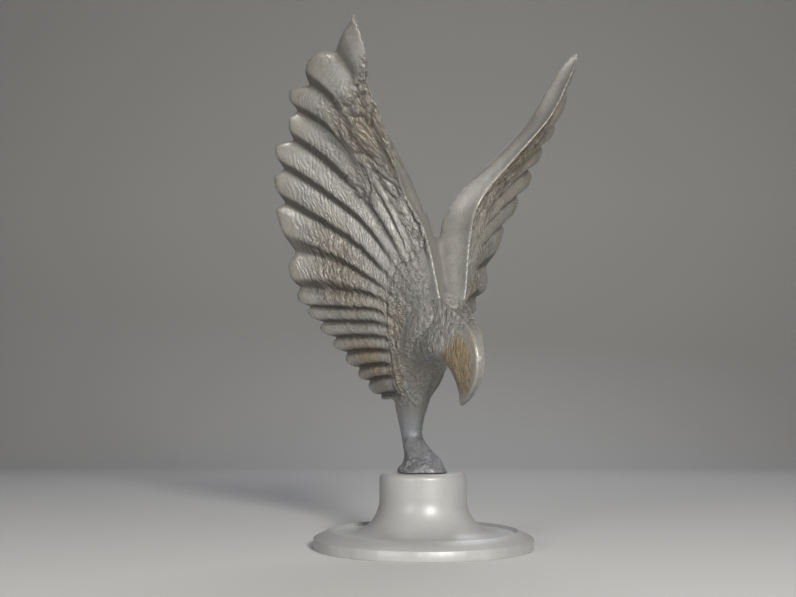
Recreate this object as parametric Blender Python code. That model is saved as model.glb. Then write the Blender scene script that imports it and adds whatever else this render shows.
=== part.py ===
"""Eagle figurine on a turned plinth: wings raised, head bent down on a slender stem."""
import math

import bmesh
import bpy
import numpy as np

# Driving dimensions, in metres
FOOT_RADIUS = 0.0500
RIM_HEIGHT = 0.0043
DISC_RADIUS = 0.0429
DISC_EDGE_HEIGHT = 0.0077
DISC_DIP = 0.0015
FLARE_RADIUS = 0.0350
FLARE_TOP = 0.0215
COLUMN_RADIUS = 0.0200
COLUMN_EDGE_RADIUS = 0.0024
PLINTH_HEIGHT = 0.0329
RIM_FACETS = 60
SEAT_GAP = 0.0003
FIGURE_HEIGHT = 0.1910

# The figure's own proportions are in percent of its height: forward, outward, up
SHARE = FIGURE_HEIGHT / 100.0
FIGURE_BASE = PLINTH_HEIGHT + SEAT_GAP

# Wing feathers, from the leading edge (number 1) to the lowest one beside the tail
FEATHER_COUNT = 16
WING_GUIDES = {
    1: [(18.2, 3.1, 39.0), (15.7, 5.8, 55.2), (13.1, 10.2, 65.1), (20.4, 17.0, 75.9),
        (25.2, 23.0, 84.5), (28.8, 25.6, 92.0), (29.4, 28.4, 99.1)],
    2: [(14.1, 4.7, 42.4), (12.6, 7.3, 54.9), (11.5, 11.5, 65.9), (15.7, 20.9, 76.9),
        (18.8, 26.7, 85.3), (16.0, 33.5, 94.2)],
    3: [(13.1, 5.2, 41.8), (9.9, 8.9, 55.4), (8.9, 14.7, 67.5), (11.0, 23.0, 76.4),
        (10.5, 29.8, 84.2), (5.6, 36.1, 89.1)],
    4: [(12.0, 5.6, 41.3), (8.4, 9.9, 54.9), (6.3, 16.2, 66.4), (4.7, 25.0, 76.4), (1.0, 35.0, 83.8)],
    5: [(10.5, 6.3, 41.3), (5.8, 10.5, 52.3), (2.1, 15.7, 61.7), (-1.0, 22.5, 68.5),
        (-3.7, 29.3, 74.3), (-6.9, 36.3, 78.9)],
    7: [(7.3, 7.3, 40.3), (1.6, 12.0, 47.1), (-4.7, 17.3, 53.9), (-10.5, 23.6, 59.1),
        (-17.6, 33.2, 65.9)],
    8: [(6.1, 7.5, 38.2), (0.3, 12.0, 43.6), (-6.3, 16.8, 47.6), (-12.8, 22.0, 50.4),
        (-20.2, 29.0, 51.6)],
    9: [(4.7, 7.6, 35.5), (-1.0, 11.8, 40.3), (-7.9, 16.2, 41.8), (-14.7, 20.4, 42.9),
        (-22.0, 25.8, 43.9)],
    12: [(2.1, 7.0, 29.8), (-3.4, 10.2, 31.4), (-10.8, 13.9, 32.0), (-17.8, 17.3, 31.9)],
    15: [(-1.6, 5.8, 21.9), (-8.5, 7.0, 22.2), (-16.8, 7.8, 21.3)],
    16: [(-3.5, 3.0, 17.4), (-9.5, 4.2, 17.6), (-15.6, 4.6, 18.0)],
}
FEATHER_COLUMNS = (0.0, 0.22, 0.46, 0.70, 0.86)
WING_ROWS = 9
FEATHER_TIP_AT = 0.30
# Depth of the notch after each feather, as a share of the feather's length
NOTCHES = [0.055, 0.08, 0.035, 0.085, 0.055, 0.05, 0.07, 0.05, 0.06, 0.08, 0.09, 0.08, 0.08, 0.07, 0.06, 0.05]
# How far the first and last feather's roots run on into the body, and how far they sink there
ROOT_LENGTHS = (3.4, 1.2)
ROOT_SINKS = (0.4, 2.2)
EVEN_ROOTS = 8
SHINGLE_PEAK = 0.64
SHINGLE_DEPTH = 0.80
FINGER_DEPTH = 1.10
FINGERS_FROM = 8.5
# Blunt leading band, from the ridge to its inner edge: forward, outward
BAND_REACH = [
    (-4.2, -4.0), (-6.6, -6.0), (-4.6, -7.5), (-5.6, -4.6), (-7.0, -3.0), (-5.4, -2.7), (-1.6, -1.2),
]
BAND_FEATHERS = 2.6
VANE_THICKNESS_ROOT = 3.6
VANE_THICKNESS_TIP = 1.1
COVERT_FEATHERS = 4.0
COVERT_FROM = 0.30
COVERT_TO = 0.74

# Body, as rings: up, front, back, half width
BODY_RINGS = [
    (5.0, -2.8, -8.4, 2.5), (8.8, -3.6, -10.4, 2.4), (13.0, -1.9, -12.9, 2.8), (16.2, 0.3, -14.2, 3.3),
    (18.8, 1.5, -13.2, 3.9), (21.8, 3.2, -11.8, 4.7), (25.0, 5.6, -10.5, 6.0), (29.0, 13.6, -8.0, 6.9),
    (33.5, 19.0, -4.5, 7.1), (37.4, 18.2, -0.8, 6.5), (40.2, 15.4, 2.4, 5.6), (42.0, 12.2, 5.0, 4.0),
]
BODY_SEGMENTS = 24

# Head, as wedge sections: top forward, top up, bottom forward, bottom up, half width, half of the top
# between its ridges, and how far the middle of the top lies under them
HEAD_SECTIONS = [
    (15.0, 41.0, 6.0, 27.0, 6.3, 3.2, 3.0), (18.4, 39.2, 10.0, 25.4, 5.8, 3.1, 2.0),
    (21.8, 36.8, 13.4, 25.4, 5.7, 2.3, 1.0), (25.3, 34.2, 16.4, 25.2, 5.1, 1.5, 0.4),
    (29.0, 31.0, 18.8, 24.4, 4.4, 1.1, 0.1), (30.8, 27.8, 20.3, 23.2, 3.8, 0.9, 0.0),
    (31.2, 24.9, 21.2, 21.8, 3.1, 0.8, 0.0), (30.6, 21.6, 21.8, 20.3, 2.4, 0.7, 0.0),
    (28.2, 18.8, 22.0, 18.8, 1.7, 0.6, 0.0), (24.9, 16.6, 21.8, 17.2, 1.0, 0.5, 0.0),
    (21.5, 15.2, 21.3, 15.9, 0.4, 0.2, 0.0),
]
HEAD_HALF_SECTION = [(0.0, 0.0), (0.22, 0.42), (0.48, 0.80), (0.70, 1.0), (0.88, 0.82), (1.0, 0.2)]

# Mound under the stem: up, radius, forward shift
MOUND_RINGS = [
    (0.0, 6.1, 0.0), (1.4, 5.3, 0.0), (3.1, 4.3, -1.1), (4.8, 3.5, -2.8), (6.4, 2.8, -4.2), (8.4, 2.3, -5.8),
]
MOUND_SEGMENTS = 20
MOUND_ROUGHNESS = 0.35
SHARP_ANGLE = 40.0


def clear_scene():
    for item in list(bpy.data.objects):
        bpy.data.objects.remove(item, do_unlink=True)


def material(name, colour, roughness, metallic):
    """A Principled material with the piece's colour."""
    made = bpy.data.materials.new(name)
    made.use_nodes = True
    shader = made.node_tree.nodes["Principled BSDF"]
    shader.inputs["Base Color"].default_value = (*colour, 1.0)
    shader.inputs["Roughness"].default_value = roughness
    shader.inputs["Metallic"].default_value = metallic
    return made


def object_from(name, points, faces, look):
    """A mesh object with its faces turned outward."""
    mesh = bpy.data.meshes.new(name)
    mesh.from_pydata([tuple(p) for p in points], [], faces)
    shape = bmesh.new()
    shape.from_mesh(mesh)
    bmesh.ops.recalc_face_normals(shape, faces=shape.faces)
    shape.to_mesh(mesh)
    shape.free()
    mesh.materials.append(look)
    made = bpy.data.objects.new(name, mesh)
    bpy.context.collection.objects.link(made)
    return made


def along(points, u):
    """A smooth curve through the points, at u from 0 to 1."""
    points = np.asarray(points, float)
    last = len(points) - 1
    place = min(max(u, 0.0), 1.0) * last
    start = min(int(place), last - 1)
    f = place - start
    p1 = points[start]
    p2 = points[start + 1]
    p0 = points[start - 1] if start > 0 else 2 * p1 - p2
    p3 = points[start + 2] if start + 2 <= last else 2 * p2 - p1
    return 0.5 * (2 * p1 + (p2 - p0) * f + (2 * p0 - 5 * p1 + 4 * p2 - p3) * f ** 2
                  + (3 * p1 - p0 - 3 * p2 + p3) * f ** 3)


def wing_point(feather, reach):
    """Outer face of the wing at a feather number and a share of its length."""
    numbers = sorted(WING_GUIDES)
    stations = [along(WING_GUIDES[n], reach) for n in numbers]
    index = np.interp(feather, numbers, range(len(numbers)))
    return along(stations, index / (len(numbers) - 1))


def wing_normal(feather, reach):
    """Direction out of the wing's outer face."""
    low = max(reach - 0.06, 0.0)
    high = min(reach + 0.06, 1.0)
    ahead = wing_point(max(feather - 0.6, 1.0), reach)
    behind = wing_point(min(feather + 0.6, FEATHER_COUNT), reach)
    across = behind - ahead
    length = wing_point(feather, high) - wing_point(feather, low)
    normal = np.cross(across, length)
    return normal / np.linalg.norm(normal)


def feather_phase(feather):
    """Place across one feather, 0 at its upper groove and 1 at the next one."""
    return (feather - 1.0 + FEATHER_TIP_AT) % 1.0


def notch_depth(feather):
    """Share of the feather's length that the notch beside it takes."""
    return NOTCHES[min(int(feather), FEATHER_COUNT) - 1]


def feather_reach(feather):
    """Where the outline ends: a pointed tip near the upper side of each feather."""
    phase = feather_phase(feather)
    if phase < FEATHER_TIP_AT:
        fall = (1.0 - phase / FEATHER_TIP_AT) ** 1.5
    else:
        power = 1.0 if feather < 2.0 else 2.2
        fall = ((phase - FEATHER_TIP_AT) / (1.0 - FEATHER_TIP_AT)) ** power
    return 1.0 - notch_depth(feather) * fall


def wing_thickness(feather, reach):
    """From the outer face to the inner one: a blunt leading band that thins to the vanes."""
    band = along(BAND_REACH, reach)
    vane = VANE_THICKNESS_ROOT + (VANE_THICKNESS_TIP - VANE_THICKNESS_ROOT) * min(reach * 1.15, 1.0)
    fade = max(0.0, 1.0 - (feather - 1.0) / BAND_FEATHERS)
    return np.array([band[0], band[1], 0.0]) * fade - wing_normal(feather, reach) * vane * (1.0 - fade)


def smooth(low, high, value):
    """0 below low, 1 above high, and an even slope between."""
    share = min(max((value - low) / (high - low), 0.0), 1.0)
    return share * share * (3.0 - 2.0 * share)


def shingle(feather, reach):
    """Height of a feather that slopes up gently and drops steeply on to the next."""
    phase = feather_phase(feather)
    if phase < SHINGLE_PEAK:
        slope = math.sin(math.pi / 2 * phase / SHINGLE_PEAK)
    else:
        slope = math.cos(math.pi / 2 * (phase - SHINGLE_PEAK) / (1.0 - SHINGLE_PEAK))
    finger = smooth(FINGERS_FROM - 1.0, FINGERS_FROM + 1.0, feather)
    rounded = slope + (math.sin(math.pi * phase) ** 0.7 - slope) * finger
    depth = SHINGLE_DEPTH + (FINGER_DEPTH - SHINGLE_DEPTH) * finger
    covert = smooth(COVERT_FROM, COVERT_FROM + 0.1, reach) * (1.0 - smooth(COVERT_TO - 0.1, COVERT_TO, reach))
    covert *= 1.0 - smooth(COVERT_FEATHERS, COVERT_FEATHERS + 1.5, feather)
    strength = min(1.0, reach * 2.2) * smooth(1.0, 1.8, feather) * (1.0 - 0.85 * covert)
    return depth * (rounded - 0.55) * strength


def wing(name, side, look):
    """One wing as a closed solid: outer face, inner face and the edge between them."""
    feathers = [n + c for n in range(1, FEATHER_COUNT) for c in FEATHER_COLUMNS] + [float(FEATHER_COUNT)]
    columns = len(feathers) - 1
    outer = []
    inner = []
    for feather in feathers:
        end = feather_reach(feather)
        outer_line = []
        inner_line = []
        for row in range(WING_ROWS):
            reach = end * row / (WING_ROWS - 1)
            point = wing_point(feather, reach)
            normal = wing_normal(feather, reach)
            thick = wing_thickness(feather, reach)
            outer_line.append(point + normal * shingle(feather, reach))
            inner_line.append(point + thick)
        outer.append(outer_line)
        inner.append(inner_line)
    for feather, outer_line, inner_line in zip(feathers, outer, inner):
        run = wing_point(feather, 0.0) - wing_point(feather, 0.1)
        length = np.interp(feather, (EVEN_ROOTS, FEATHER_COUNT), ROOT_LENGTHS)
        sink = np.interp(feather, (EVEN_ROOTS, FEATHER_COUNT), ROOT_SINKS)
        into_body = run / np.linalg.norm(run) * length - wing_normal(feather, 0.0) * sink
        outer_line[0] = outer_line[0] + into_body
        inner_line[0] = inner_line[0] + into_body
    points = []
    index = {}
    for face, lines in (("outer", outer), ("inner", inner)):
        for i, line in enumerate(lines):
            for j, point in enumerate(line):
                index[face, i, j] = len(points)
                points.append((side * point[1] * SHARE, -point[0] * SHARE, FIGURE_BASE + point[2] * SHARE))
    faces = []
    rows = WING_ROWS
    for i in range(columns):
        for j in range(rows - 1):
            for face in ("outer", "inner"):
                near = [index[face, i, j], index[face, i + 1, j]]
                far = [index[face, i + 1, j + 1], index[face, i, j + 1]]
                corners = near + far
                faces.append(corners if face == "outer" else corners[::-1])
        for j in (0, rows - 1):
            near = [index["outer", i, j], index["inner", i, j]]
            far = [index["inner", i + 1, j], index["outer", i + 1, j]]
            edge = near + far
            faces.append(edge if j == 0 else edge[::-1])
    for i in (0, columns):
        for j in range(rows - 1):
            near = [index["outer", i, j], index["outer", i, j + 1]]
            far = [index["inner", i, j + 1], index["inner", i, j]]
            edge = near + far
            faces.append(edge if i == 0 else edge[::-1])
    return object_from(name, points, faces, look)


def loft(name, rings, look):
    """A closed solid through rings of equal point count, with a flat cap at each end."""
    count = len(rings[0])
    points = [p for ring in rings for p in ring]
    faces = []
    for level in range(len(rings) - 1):
        for k in range(count):
            a = level * count + k
            b = level * count + (k + 1) % count
            faces.append([a, b, b + count, a + count])
    faces.append(list(range(count))[::-1])
    start = (len(rings) - 1) * count
    faces.append(list(range(start, start + count)))
    return object_from(name, points, faces, look)


def body(look):
    """Breast, back and stem."""
    rings = []
    for up, front, back, half in BODY_RINGS:
        ring = []
        for k in range(BODY_SEGMENTS):
            angle = 2 * math.pi * k / BODY_SEGMENTS
            forward = (front + back) / 2 + (front - back) / 2 * math.cos(angle)
            outward = half * math.sin(angle)
            ring.append((outward * SHARE, -forward * SHARE, FIGURE_BASE + up * SHARE))
        rings.append(ring)
    return loft("body_form", rings, look)


def head(look):
    """Wedge-sided head with a narrow flat band between two ridges, bent into a hooked beak."""
    rings = []
    for top_f, top_u, low_f, low_u, half, band, dip in HEAD_SECTIONS:
        section = [(depth, band + (half - band) * share) for depth, share in HEAD_HALF_SECTION]
        outline = section + [(d, -w) for d, w in section[::-1]]
        ring = []
        for depth, width in outline:
            forward = top_f + (low_f - top_f) * depth
            up = top_u + (low_u - top_u) * depth
            ring.append((width * SHARE, -forward * SHARE, FIGURE_BASE + up * SHARE))
        ring.append((0.0, -top_f * SHARE, FIGURE_BASE + (top_u - dip) * SHARE))
        rings.append(ring)
    return loft("head_form", rings, look)


def mound(look):
    """Rough lump that the stem rises from."""
    rings = []
    for level, (up, radius, shift) in enumerate(MOUND_RINGS):
        ring = []
        for k in range(MOUND_SEGMENTS):
            angle = 2 * math.pi * k / MOUND_SEGMENTS
            rough = math.sin(3 * angle + 1.7 * level) + 0.7 * math.sin(5 * angle - 2.3 * level)
            out = radius + MOUND_ROUGHNESS * rough * (0.4 if level == 0 else 1.0) * radius / 6.0
            forward = shift + out * math.cos(angle)
            outward = out * math.sin(angle)
            ring.append((outward * SHARE, -forward * SHARE, FIGURE_BASE + up * SHARE))
        rings.append(ring)
    return loft("mound_form", rings, look)


def hide_form(form):
    form.hide_render = True
    form.display_type = "WIRE"


def eagle(look):
    """The whole bird as one solid: body, head, mound and both wings united."""
    bird = body(look)
    bird.name = "eagle"
    bird.data.name = "eagle"
    for form in (head(look), mound(look), wing("wing_form_right", -1, look), wing("wing_form_left", 1, look)):
        hide_form(form)
        union = bird.modifiers.new("join_" + form.name, "BOOLEAN")
        union.operation = "UNION"
        union.solver = "EXACT"
        union.object = form
    bird.data.shade_smooth()
    bird.data.set_sharp_from_angle(angle=math.radians(SHARP_ANGLE))
    return bird


def plinth(look):
    """Turned plinth, read as a half profile and revolved with flat facets."""
    profile = [(FOOT_RADIUS, 0.0), (FOOT_RADIUS, RIM_HEIGHT), (DISC_RADIUS, DISC_EDGE_HEIGHT)]
    disc = DISC_EDGE_HEIGHT - DISC_DIP
    profile.append((DISC_RADIUS - DISC_DIP, disc))
    steps = 7
    for step in range(steps + 1):
        turn = math.pi / 2 * step / steps
        radius = FLARE_RADIUS - (FLARE_RADIUS - COLUMN_RADIUS) * math.sin(turn)
        height = disc + (FLARE_TOP - disc) * (1 - math.cos(turn))
        profile.append((radius, height))
    edge = PLINTH_HEIGHT - COLUMN_EDGE_RADIUS
    for step in range(4 + 1):
        turn = math.pi / 2 * step / 4
        radius = COLUMN_RADIUS - COLUMN_EDGE_RADIUS * (1 - math.cos(turn))
        profile.append((radius, edge + COLUMN_EDGE_RADIUS * math.sin(turn)))
    rings = []
    for radius, height in profile:
        ring = []
        for k in range(RIM_FACETS):
            angle = 2 * math.pi * (k + 0.5) / RIM_FACETS
            ring.append((radius * math.cos(angle), radius * math.sin(angle), height))
        rings.append(ring)
    made = loft("plinth", rings, look)
    made.data.shade_smooth()
    made.data.set_sharp_from_angle(angle=math.radians(SHARP_ANGLE))
    return made


clear_scene()
eagle(material("patinated_cast_metal", (0.26, 0.24, 0.21), 0.45, 0.85))
plinth(material("pale_satin_stone", (0.62, 0.61, 0.60), 0.35, 0.0))
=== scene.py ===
# %% [markdown]
# # An eagle figurine, from measured frame to finished picture
#
# The object is a desk figurine. A cast metal eagle with raised wings stands on a
# slender stem, and the stem grows out of a rough mound on a turned stone plinth.
# The measured frame gives the true size of both pieces, and this lesson gives them
# their carving, their surfaces and their light.

import math

import bpy
import numpy as np
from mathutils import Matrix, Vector, bvhtree, kdtree, noise


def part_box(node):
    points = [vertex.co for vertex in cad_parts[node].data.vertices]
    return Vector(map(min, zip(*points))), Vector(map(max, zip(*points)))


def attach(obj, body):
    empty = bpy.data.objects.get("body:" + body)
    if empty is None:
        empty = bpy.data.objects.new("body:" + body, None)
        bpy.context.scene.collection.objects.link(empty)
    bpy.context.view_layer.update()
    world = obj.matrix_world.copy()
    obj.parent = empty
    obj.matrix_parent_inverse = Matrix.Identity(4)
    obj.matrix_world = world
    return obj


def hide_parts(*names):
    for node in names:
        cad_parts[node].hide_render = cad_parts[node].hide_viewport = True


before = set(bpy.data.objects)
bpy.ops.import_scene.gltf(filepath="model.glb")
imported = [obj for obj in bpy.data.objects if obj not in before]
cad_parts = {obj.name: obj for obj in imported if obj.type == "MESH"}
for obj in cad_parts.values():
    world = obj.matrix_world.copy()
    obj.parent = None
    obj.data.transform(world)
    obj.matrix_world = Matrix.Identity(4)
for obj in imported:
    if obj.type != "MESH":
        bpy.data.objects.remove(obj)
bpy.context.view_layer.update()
eagle_low, eagle_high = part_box("eagle")
print("eagle box", [round(v, 4) for v in (*eagle_low, *eagle_high)])

# %% [markdown]
# ## The figure's proportions
#
# A sculptor blocks out a figure in shares of its height, so the same pose works at
# any size. The eagle's numbers are percent of its height: forward, outward and up.
# Each wing hangs on a few guide feathers, and every other feather lies between two
# of them, as real feathers fan out evenly from the wing's bones.

# %% Proportions of wings, body and head
FIGURE_HEIGHT = 0.1910
SHARE = FIGURE_HEIGHT / 100.0
FIGURE_BASE = eagle_low.z
FEATHER_COUNT = 16
WING_GUIDES = {
    1: [(18.2, 3.1, 39.0), (15.7, 5.8, 55.2), (13.1, 10.2, 65.1), (20.4, 17.0, 75.9),
        (25.2, 23.0, 84.5), (28.8, 25.6, 92.0), (29.4, 28.4, 99.1)],
    2: [(14.1, 4.7, 42.4), (12.6, 7.3, 54.9), (11.5, 11.5, 65.9), (15.7, 20.9, 76.9),
        (18.8, 26.7, 85.3), (16.0, 33.5, 94.2)],
    3: [(13.1, 5.2, 41.8), (9.9, 8.9, 55.4), (8.9, 14.7, 67.5), (11.0, 23.0, 76.4),
        (10.5, 29.8, 84.2), (5.6, 36.1, 89.1)],
    4: [(12.0, 5.6, 41.3), (8.4, 9.9, 54.9), (6.3, 16.2, 66.4), (4.7, 25.0, 76.4), (1.0, 35.0, 83.8)],
    5: [(10.5, 6.3, 41.3), (5.8, 10.5, 52.3), (2.1, 15.7, 61.7), (-1.0, 22.5, 68.5),
        (-3.7, 29.3, 74.3), (-6.9, 36.3, 78.9)],
    7: [(7.3, 7.3, 40.3), (1.6, 12.0, 47.1), (-4.7, 17.3, 53.9), (-10.5, 23.6, 59.1),
        (-17.6, 33.2, 65.9)],
    8: [(6.1, 7.5, 38.2), (0.3, 12.0, 43.6), (-6.3, 16.8, 47.6), (-12.8, 22.0, 50.4),
        (-20.2, 29.0, 51.6)],
    9: [(4.7, 7.6, 35.5), (-1.0, 11.8, 40.3), (-7.9, 16.2, 41.8), (-14.7, 20.4, 42.9),
        (-22.0, 25.8, 43.9)],
    12: [(2.1, 7.0, 29.8), (-3.4, 10.2, 31.4), (-10.8, 13.9, 32.0), (-17.8, 17.3, 31.9)],
    15: [(-1.6, 5.8, 21.9), (-8.5, 7.0, 22.2), (-16.8, 7.8, 21.3)],
    16: [(-3.5, 3.0, 17.4), (-9.5, 4.2, 17.6), (-15.6, 4.6, 18.0)],
}
BAND_REACH = [(-4.2, -4.0), (-6.6, -6.0), (-4.6, -7.5), (-5.6, -4.6), (-7.0, -3.0),
              (-5.4, -2.7), (-1.6, -1.2)]
BAND_FEATHERS = 2.6
FEATHER_TIP_AT = 0.30
NOTCHES = [0.055, 0.08, 0.035, 0.085, 0.055, 0.05, 0.07, 0.05, 0.06, 0.08, 0.09, 0.08, 0.08, 0.07, 0.06, 0.05]
VANE_THICKNESS_ROOT, VANE_THICKNESS_TIP = 3.6, 1.1
# Low powers make pointed tips and high ones blunt lobes, by feather number
TIP_UPPER = ([1, 2, 3, 7, 9, 16], [0.8, 2.2, 1.0, 1.0, 1.8, 1.8])
TIP_LOWER = ([1, 1.9, 2, 3, 7, 9, 16], [1.0, 1.0, 3.0, 1.5, 1.5, 2.0, 2.0])
ROOT_LENGTHS, ROOT_SINKS, EVEN_ROOTS = (3.4, 1.2), (0.4, 2.2), 8
BODY_RINGS = [
    (5.0, -2.8, -8.4, 2.5), (8.8, -3.6, -10.4, 2.4), (13.0, -1.9, -12.9, 2.8), (16.2, 0.3, -14.2, 3.3),
    (18.8, 1.5, -13.2, 3.9), (21.8, 3.2, -11.8, 4.7), (25.0, 5.6, -10.5, 6.0), (29.0, 13.6, -8.0, 6.9),
    (33.5, 19.0, -4.5, 7.1), (37.4, 18.2, -0.8, 6.5), (40.2, 15.4, 2.4, 5.6), (42.0, 12.2, 5.0, 4.0),
]
HEAD_SECTIONS = [
    (15.0, 41.0, 6.0, 27.0, 6.3, 3.2, 3.0), (18.4, 39.2, 10.0, 25.4, 5.8, 3.1, 2.0),
    (21.8, 36.8, 13.4, 25.4, 5.7, 2.3, 1.0), (25.3, 34.2, 16.4, 25.2, 5.1, 1.5, 0.4),
    (29.0, 31.0, 18.8, 24.4, 4.4, 1.1, 0.1), (30.8, 27.8, 20.3, 23.2, 3.8, 0.9, 0.0),
    (31.2, 24.9, 21.2, 21.8, 3.1, 0.8, 0.0), (30.6, 21.6, 21.8, 20.3, 2.4, 0.7, 0.0),
    (28.2, 18.8, 22.0, 18.8, 1.7, 0.6, 0.0), (24.9, 16.6, 21.8, 17.2, 1.0, 0.5, 0.0),
    (21.5, 15.2, 21.3, 15.9, 0.4, 0.2, 0.0),
]
MOUND_RINGS = [
    (0.0, 6.1, 0.0), (1.4, 5.3, 0.0), (3.1, 4.3, -1.1), (4.8, 3.5, -2.8), (6.4, 2.8, -4.2), (8.4, 2.3, -5.8),
]
print(f"figure {FIGURE_HEIGHT * 1000:.0f} mm tall, {FEATHER_COUNT} feathers a wing")

# %% [markdown]
# ## Smooth curves and smooth steps
#
# Two small tools do most of the modelling. One draws a smooth curve through a few
# given points, as a bent batten does on a boat builder's floor. The other rises
# evenly from nothing to one, so that every part of the relief fades in and out.

# %% Curve and step helpers
def spline(p0, p1, p2, p3, f):
    """Between p1 and p2, at the share f of the way."""
    return 0.5 * (2 * p1 + (p2 - p0) * f + (2 * p0 - 5 * p1 + 4 * p2 - p3) * f ** 2
                  + (3 * p1 - p0 - 3 * p2 + p3) * f ** 3)


def through(points, share):
    """Points on a smooth curve through the given ones, at shares from 0 to 1."""
    points = np.asarray(points, float)
    last = len(points) - 1
    place = np.clip(np.asarray(share, float), 0.0, 1.0) * last
    start = np.minimum(place.astype(int), last - 1)
    padded = np.vstack([2 * points[0] - points[1], points, 2 * points[-1] - points[-2]])
    return spline(*(padded[start + k] for k in range(4)), (place - start)[..., None])


def smooth(low, high, value):
    """0 below low, 1 above high, and an even slope between."""
    share = np.clip((value - low) / (high - low), 0.0, 1.0)
    return share * share * (3.0 - 2.0 * share)


def fall(low, high, value):
    """1 below low, 0 above high, and an even slope between."""
    return 1.0 - smooth(low, high, value)


def to_frame(points, side):
    """Shares of the figure's height to metres, on one side of the bird."""
    points = np.asarray(points, float)
    return np.stack([side * points[..., 1] * SHARE, -points[..., 0] * SHARE,
                     FIGURE_BASE + points[..., 2] * SHARE], axis=-1)


print("curve check, leading edge halfway:", np.round(through(WING_GUIDES[1], 0.5), 1))

# %% [markdown]
# ## The wing's face
#
# The outer face is one curved sheet. Its first direction counts feathers from the
# leading edge down, and its second runs along each feather from root to tip. The
# outline is scalloped: each feather ends in a point or lobe with a notch beside it.
# Each feather is a low shingle, so its upper side slopes gently and its lower side
# drops steeply on to the next. That drop gives the long dark lines across the wing.

# %% Wing surface, outline and shingled feathers
def wing_point(feather, reach):
    """Outer face of the wing at feather numbers and shares of their length."""
    numbers = sorted(WING_GUIDES)
    curves = np.stack([through(WING_GUIDES[n], reach) for n in numbers])
    padded = np.concatenate([[2 * curves[0] - curves[1]], curves, [2 * curves[-1] - curves[-2]]])
    place = np.interp(feather, numbers, range(len(numbers)))
    start = np.minimum(place.astype(int), len(numbers) - 2)
    which = np.indices(start.shape)
    return spline(*(padded[(start + k, *which)] for k in range(4)), (place - start)[..., None])


def unit(vectors):
    return vectors / np.maximum(np.linalg.norm(vectors, axis=-1, keepdims=True), 1e-9)


def wing_normal(feather, reach):
    """Direction out of the wing's outer face."""
    across = (wing_point(np.minimum(feather + 0.6, FEATHER_COUNT), reach)
              - wing_point(np.maximum(feather - 0.6, 1.0), reach))
    length = (wing_point(feather, np.minimum(reach + 0.06, 1.0))
              - wing_point(feather, np.maximum(reach - 0.06, 0.0)))
    return unit(np.cross(across, length))


def feather_phase(feather):
    """Place across one feather, 0 at its upper groove and 1 at the next one."""
    return (feather - 1.0 + FEATHER_TIP_AT) % 1.0


def feather_reach(feather):
    """Where the outline ends, as a share of the full length."""
    phase = feather_phase(feather)
    depth = np.array(NOTCHES)[np.clip(np.asarray(feather).astype(int), 1, FEATHER_COUNT) - 1]
    above = np.clip(1.0 - phase / FEATHER_TIP_AT, 0.0, 1.0)
    below = np.clip((phase - FEATHER_TIP_AT) / (1.0 - FEATHER_TIP_AT), 0.0, 1.0)
    upper = above ** np.interp(feather, *TIP_UPPER)
    lower = below ** np.interp(feather, *TIP_LOWER)
    return 1.0 - depth * np.where(phase < FEATHER_TIP_AT, upper, lower)


SHINGLE_PEAK, SHINGLE_LEVEL = 0.64, 0.55
SHINGLE_DEPTH, FINGER_DEPTH, FINGERS_FROM = 1.55, 1.80, 8.5
COVERT_FEATHERS = 4.4


def covert(feather, reach):
    """1 where small wrinkled covert feathers hide the long ones."""
    inner_end = np.interp(feather, [1.0, 2.5, 3.5, 5.0], [0.06, 0.16, 0.36, 0.42])
    outer_end = np.interp(feather, [1.0, 2.0, 3.0, 4.0, 5.5], [0.86, 0.84, 0.78, 0.66, 0.56])
    rows = smooth(inner_end, inner_end + 0.08, reach) * fall(outer_end - 0.10, outer_end, reach)
    return rows * fall(COVERT_FEATHERS, COVERT_FEATHERS + 1.2, feather)


def finger_share(feather):
    """0 on the shingled feathers and 1 on the low, finger-like ones."""
    return smooth(FINGERS_FROM - 1.0, FINGERS_FROM + 1.0, feather)


def shingle_profile(feather):
    """A gentle slope up and a steep drop, or a round finger low on the wing."""
    phase = feather_phase(feather)
    rise = np.sin(np.pi / 2 * phase / SHINGLE_PEAK)
    drop = (1.0 - phase) / (1.0 - SHINGLE_PEAK)
    slope = np.where(phase < SHINGLE_PEAK, rise, drop)
    return slope + (np.sin(np.pi * phase) ** 0.7 - slope) * finger_share(feather)


def shingle(feather, reach):
    """Height of the feathers' slopes and drops, in shares of the figure's height."""
    depth = SHINGLE_DEPTH + (FINGER_DEPTH - SHINGLE_DEPTH) * finger_share(feather)
    strength = smooth(0.02, 0.42, reach) * smooth(1.0, 1.7, feather) * (1.0 - 0.75 * covert(feather, reach))
    return depth * (shingle_profile(feather) - SHINGLE_LEVEL) * strength


print("outline ends at", np.round(feather_reach(np.array([1.0, 1.7, 2.0, 2.7])), 3))

# %% [markdown]
# ## Solid wings
#
# A wing is closed into a solid by a second face behind the first. The space between
# them is wide along the leading edge, where bone and muscle would be, and thin at
# the feather tips. The blunt band in front joins the two faces with a low curve.

# %% Wing solids with the feather number and reach kept on every point
PART_OUTER, PART_INNER, PART_BAND, PART_BODY, PART_HEAD, PART_MOUND = range(6)
COLUMNS_EACH = 12
WING_ROWS = 140
BAND_COLUMNS = 26
BAND_BULGE = 0.95
TIP_ROUND, TIP_PINCH = 0.045, 0.93
INNER_DEPTH = 0.45


def wing_thickness(feather, reach):
    """From the outer face to the inner one."""
    band = through(BAND_REACH, reach)
    vane = VANE_THICKNESS_ROOT + (VANE_THICKNESS_TIP - VANE_THICKNESS_ROOT) * np.minimum(reach * 1.15, 1.0)
    fade = np.maximum(0.0, 1.0 - (feather - 1.0) / BAND_FEATHERS)[..., None]
    forward = np.concatenate([band, np.zeros_like(band[..., :1])], axis=-1)
    return forward * fade - wing_normal(feather, reach) * vane[..., None] * (1.0 - fade)


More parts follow.
